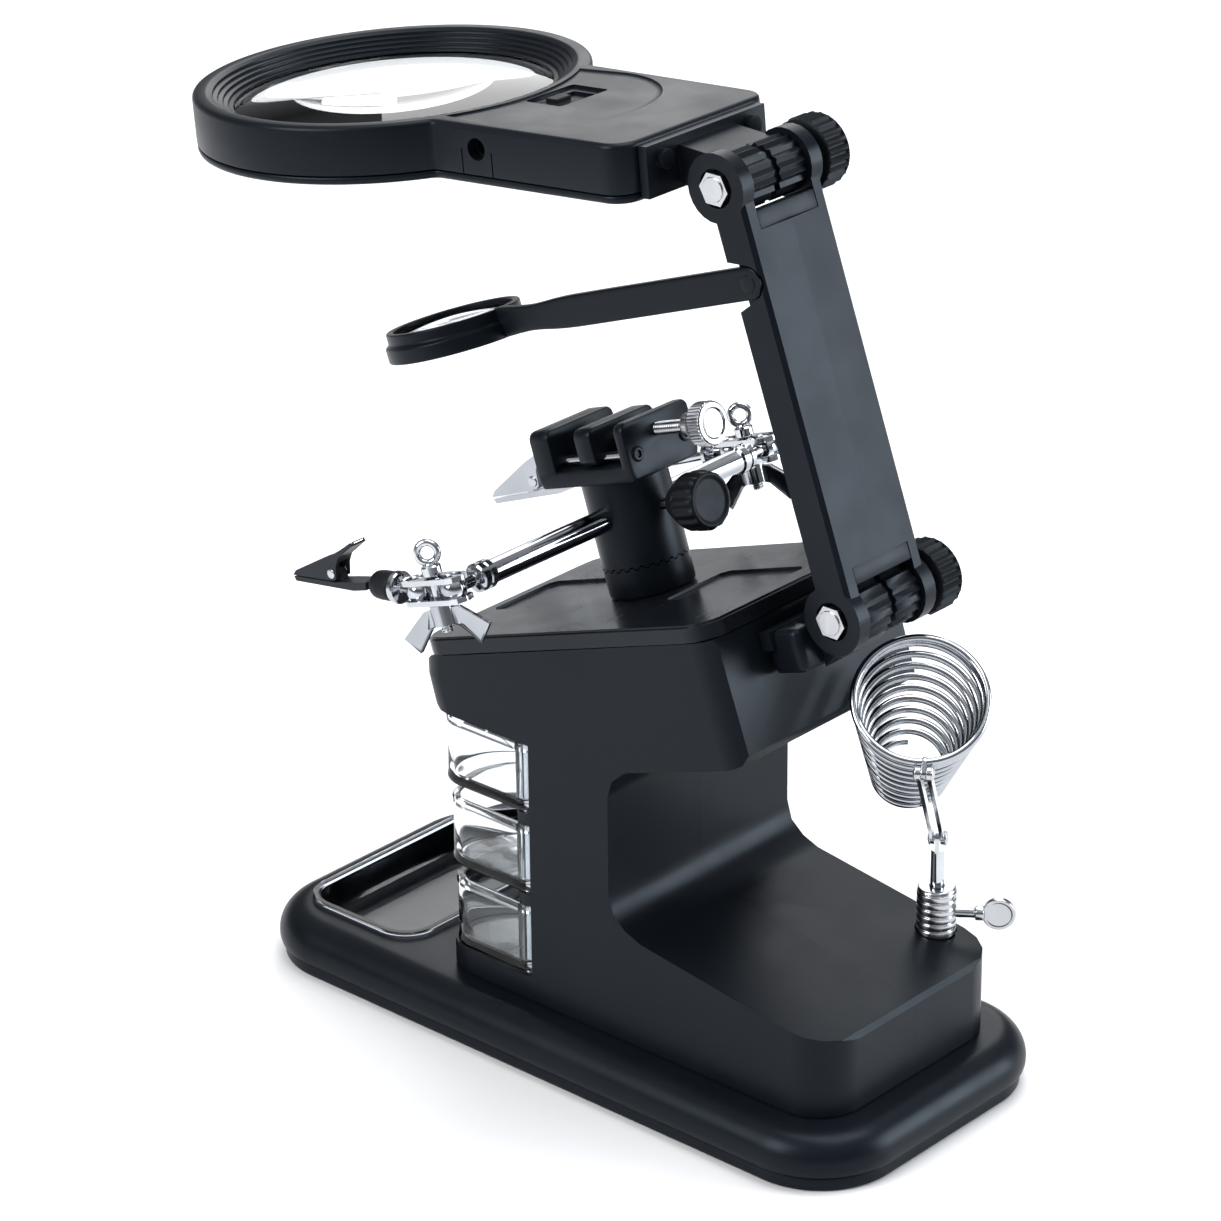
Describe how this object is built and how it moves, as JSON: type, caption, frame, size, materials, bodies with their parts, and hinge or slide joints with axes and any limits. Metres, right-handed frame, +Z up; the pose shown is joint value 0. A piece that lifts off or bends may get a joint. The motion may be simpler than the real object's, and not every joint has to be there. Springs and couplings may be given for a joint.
{
  "type": "helping hands magnifier",
  "caption": "Bench magnifier stand with hinged arm, lit lens head, swing-out lens, board vise, two clip arms, drawers and iron rest.",
  "frame": {"origin": "centre of the flat underside of the base", "axes": "+Z up, +X along the base towards the iron rest, -Y the side the drawers open to"},
  "size_m": [0.2507, 0.1358, 0.2651],
  "materials": {
    "black_plastic": "satin moulded",
    "clear_plastic": "clear",
    "chrome_steel": "bright plated",
    "weight_steel": "plain",
    "lens": "polished",
    "led": "diffuse",
    "cell": "satin"
  },
  "bodies": {
    "stand": {"base_shell": "black_plastic", "base_bottom": "black_plastic", "base_weight": "weight_steel", "body_near": "black_plastic", "body_far": "black_plastic", "lid": "black_plastic", "drawer_pin": "chrome_steel", "hinge_block": "black_plastic", "post_cup": "black_plastic", "iron_socket": "chrome_steel"},
    "tray": {"sponge_tray": "clear_plastic"},
    "drawer_a": {"drawer_low": "clear_plastic"},
    "drawer_b": {"drawer_mid": "clear_plastic"},
    "drawer_c": {"drawer_top": "clear_plastic"},
    "arm": {"arm": "black_plastic", "lower_bolt": "chrome_steel", "upper_bolt": "chrome_steel", "aux_pin": "chrome_steel"},
    "knob_low": {"lower_knob": "black_plastic"},
    "knob_high": {"upper_knob": "black_plastic"},
    "aux": {"aux_frame": "black_plastic", "aux_lens": "lens"},
    "head": {"head_hinge": "black_plastic", "head_shell": "black_plastic", "head_base": "black_plastic", "main_lens": "lens", "lens_retainer": "black_plastic", "led_ring": "led", "dc_jack": "black_plastic", "battery_1": "cell", "battery_2": "cell", "battery_3": "cell"},
    "door": {"battery_door": "black_plastic"},
    "switch": {"switch_slider": "black_plastic"},
    "vise": {"vise_body": "black_plastic", "guide_rod_1": "chrome_steel", "guide_rod_2": "chrome_steel"},
    "jaw": {"vise_jaw": "black_plastic"},
    "vise_screw": {"vise_screw": "chrome_steel"},
    "rod": {"cross_rod": "chrome_steel"},
    "rod_knob": {"rod_knob": "black_plastic"},
    "near_clamp": {"near_plate_top": "chrome_steel", "near_plate_bottom": "chrome_steel", "near_bolt": "chrome_steel"},
    "near_wingnut": {"near_wing": "chrome_steel"},
    "near_grip": {"near_stem": "chrome_steel", "near_clip_lower": "black_plastic"},
    "near_lever": {"near_clip_upper": "black_plastic"},
    "far_clamp": {"far_plate_top": "chrome_steel", "far_plate_bottom": "chrome_steel", "far_bolt": "chrome_steel"},
    "far_wingnut": {"far_wing": "chrome_steel"},
    "far_grip": {"far_stem": "chrome_steel", "far_clip_lower": "chrome_steel"},
    "far_lever": {"far_clip_upper": "chrome_steel"},
    "iron_swivel": {"iron_post": "chrome_steel"},
    "iron_arm": {"iron_link": "chrome_steel"},
    "iron_basket": {"iron_spring": "chrome_steel"},
    "iron_clamp": {"iron_screw": "chrome_steel"}
  },
  "joints": [
    {"name": "tray_lift", "type": "slide", "parent": "stand", "child": "tray", "axis": [0, 0, 1], "range_m": [0, 0.005]},
    {"name": "drawer_a_swing", "type": "hinge", "parent": "stand", "child": "drawer_a", "pos_m": [-0.011, -0.0333, 0.033], "axis": [0, 0, 1], "range_deg": [0, 60]},
    {"name": "drawer_b_swing", "type": "hinge", "parent": "stand", "child": "drawer_b", "pos_m": [-0.011, -0.0333, 0.058], "axis": [0, 0, 1], "range_deg": [0, 60]},
    {"name": "drawer_c_swing", "type": "hinge", "parent": "stand", "child": "drawer_c", "pos_m": [-0.011, -0.0333, 0.082], "axis": [0, 0, 1], "range_deg": [0, 60]},
    {"name": "arm_tilt", "type": "hinge", "parent": "stand", "child": "arm", "pos_m": [0.079, 0, 0.1479], "axis": [0, 1, 0], "range_deg": [-8, 30]},
    {"name": "lower_knob_turn", "type": "hinge", "parent": "arm", "child": "knob_low", "pos_m": [0.079, 0.022, 0.1479], "axis": [0, 1, 0], "range_deg": [-180, 180]},
    {"name": "upper_knob_turn", "type": "hinge", "parent": "arm", "child": "knob_high", "pos_m": [0.04, 0.022, 0.255], "axis": [0, 1, 0], "range_deg": [-180, 180]},
    {"name": "head_tilt", "type": "hinge", "parent": "arm", "child": "head", "pos_m": [0.04, 0, 0.255], "axis": [0, 1, 0], "range_deg": [-15, 20]},
    {"name": "aux_lens_swing", "type": "hinge", "parent": "arm", "child": "aux", "pos_m": [0.0507, -0.01375, 0.2323], "axis": [0, 1, 0], "range_deg": [-14, 18]},
    {"name": "battery_door_lift", "type": "slide", "parent": "head", "child": "door", "axis": [0.0951, 0, -0.9955], "range_m": [0, 0.012]},
    {"name": "switch_slide", "type": "slide", "parent": "head", "child": "switch", "axis": [0, 1, 0], "range_m": [0, 0.0055]},
    {"name": "post_turn", "type": "hinge", "parent": "stand", "child": "vise", "pos_m": [0.00203, 0, 0.13897], "axis": [-0.3217, 0, 0.9468], "range_deg": [-40, 40]},
    {"name": "jaw_slide", "type": "slide", "parent": "vise", "child": "jaw", "axis": [0.9468, 0, 0.3217], "range_m": [-0.007, 0.008]},
    {"name": "vise_screw_turn", "type": "hinge", "parent": "jaw", "child": "vise_screw", "pos_m": [0.0128, 0, 0.17907], "axis": [0.9468, 0, 0.3217], "range_deg": [-3000, 3000]},
    {"name": "rod_slide", "type": "slide", "parent": "vise", "child": "rod", "axis": [0, 1, 0], "range_m": [-0.006, 0.006]},
    {"name": "rod_knob_turn", "type": "hinge", "parent": "vise", "child": "rod_knob", "pos_m": [0.0194, 0, 0.15966], "axis": [0.9468, 0, 0.3217], "range_deg": [-180, 180]},
    {"name": "near_ball_turn", "type": "hinge", "parent": "rod", "child": "near_clamp", "pos_m": [-0.00231, -0.069, 0.15176], "axis": [-0.3217, 0, 0.9468], "range_deg": [-25, 25]},
    {"name": "near_wing_turn", "type": "hinge", "parent": "near_clamp", "child": "near_wingnut", "pos_m": [-0.00605, -0.069, 0.14257], "axis": [-0.3217, 0, 0.9468], "range_deg": [-180, 180]},
    {"name": "near_stem_turn", "type": "hinge", "parent": "near_clamp", "child": "near_grip", "pos_m": [-0.01462, -0.069, 0.14758], "axis": [-0.3217, 0, 0.9468], "range_deg": [-12, 12]},
    {"name": "near_clip_open", "type": "hinge", "parent": "near_grip", "child": "near_lever", "pos_m": [-0.04443, -0.069, 0.14447], "axis": [0, 1, 0], "range_deg": [0, 18], "stiffness_Nm_per_rad": 0.02, "springref_deg": -11.46},
    {"name": "far_ball_turn", "type": "hinge", "parent": "rod", "child": "far_clamp", "pos_m": [-0.00231, 0.055, 0.15176], "axis": [-0.3217, 0, 0.9468], "range_deg": [-25, 25]},
    {"name": "far_wing_turn", "type": "hinge", "parent": "far_clamp", "child": "far_wingnut", "pos_m": [-0.00605, 0.055, 0.14257], "axis": [-0.3217, 0, 0.9468], "range_deg": [-180, 180]},
    {"name": "far_stem_turn", "type": "hinge", "parent": "far_clamp", "child": "far_grip", "pos_m": [-0.01462, 0.055, 0.14758], "axis": [-0.3217, 0, 0.9468], "range_deg": [-12, 12]},
    {"name": "far_clip_open", "type": "hinge", "parent": "far_grip", "child": "far_lever", "pos_m": [-0.08707, 0.055, 0.11945], "axis": [0, 1, 0], "range_deg": [0, 18], "stiffness_Nm_per_rad": 0.02, "springref_deg": -11.46},
    {"name": "iron_post_turn", "type": "hinge", "parent": "stand", "child": "iron_swivel", "pos_m": [0.0789, 0.0306, 0.05], "axis": [0, 0, 1], "range_deg": [0, 35]},
    {"name": "iron_link_tilt", "type": "hinge", "parent": "iron_swivel", "child": "iron_arm", "pos_m": [0.0789, 0.0306, 0.0684], "axis": [0.8439, 0.5364, 0], "range_deg": [0, 25]},
    {"name": "iron_basket_tilt", "type": "hinge", "parent": "iron_arm", "child": "iron_basket", "pos_m": [0.1028, -0.007, 0.1095], "axis": [0.8439, 0.5364, 0], "range_deg": [-5, 3]},
    {"name": "iron_screw_turn", "type": "hinge", "parent": "stand", "child": "iron_clamp", "pos_m": [0.0789, 0.0306, 0.046], "axis": [0.8, 0.6, 0], "range_deg": [-180, 180]}
  ],
  "couplings": [
    {"joint": "vise_screw_turn", "follows": "jaw_slide", "rad_per_m": -6283.2}
  ]
}
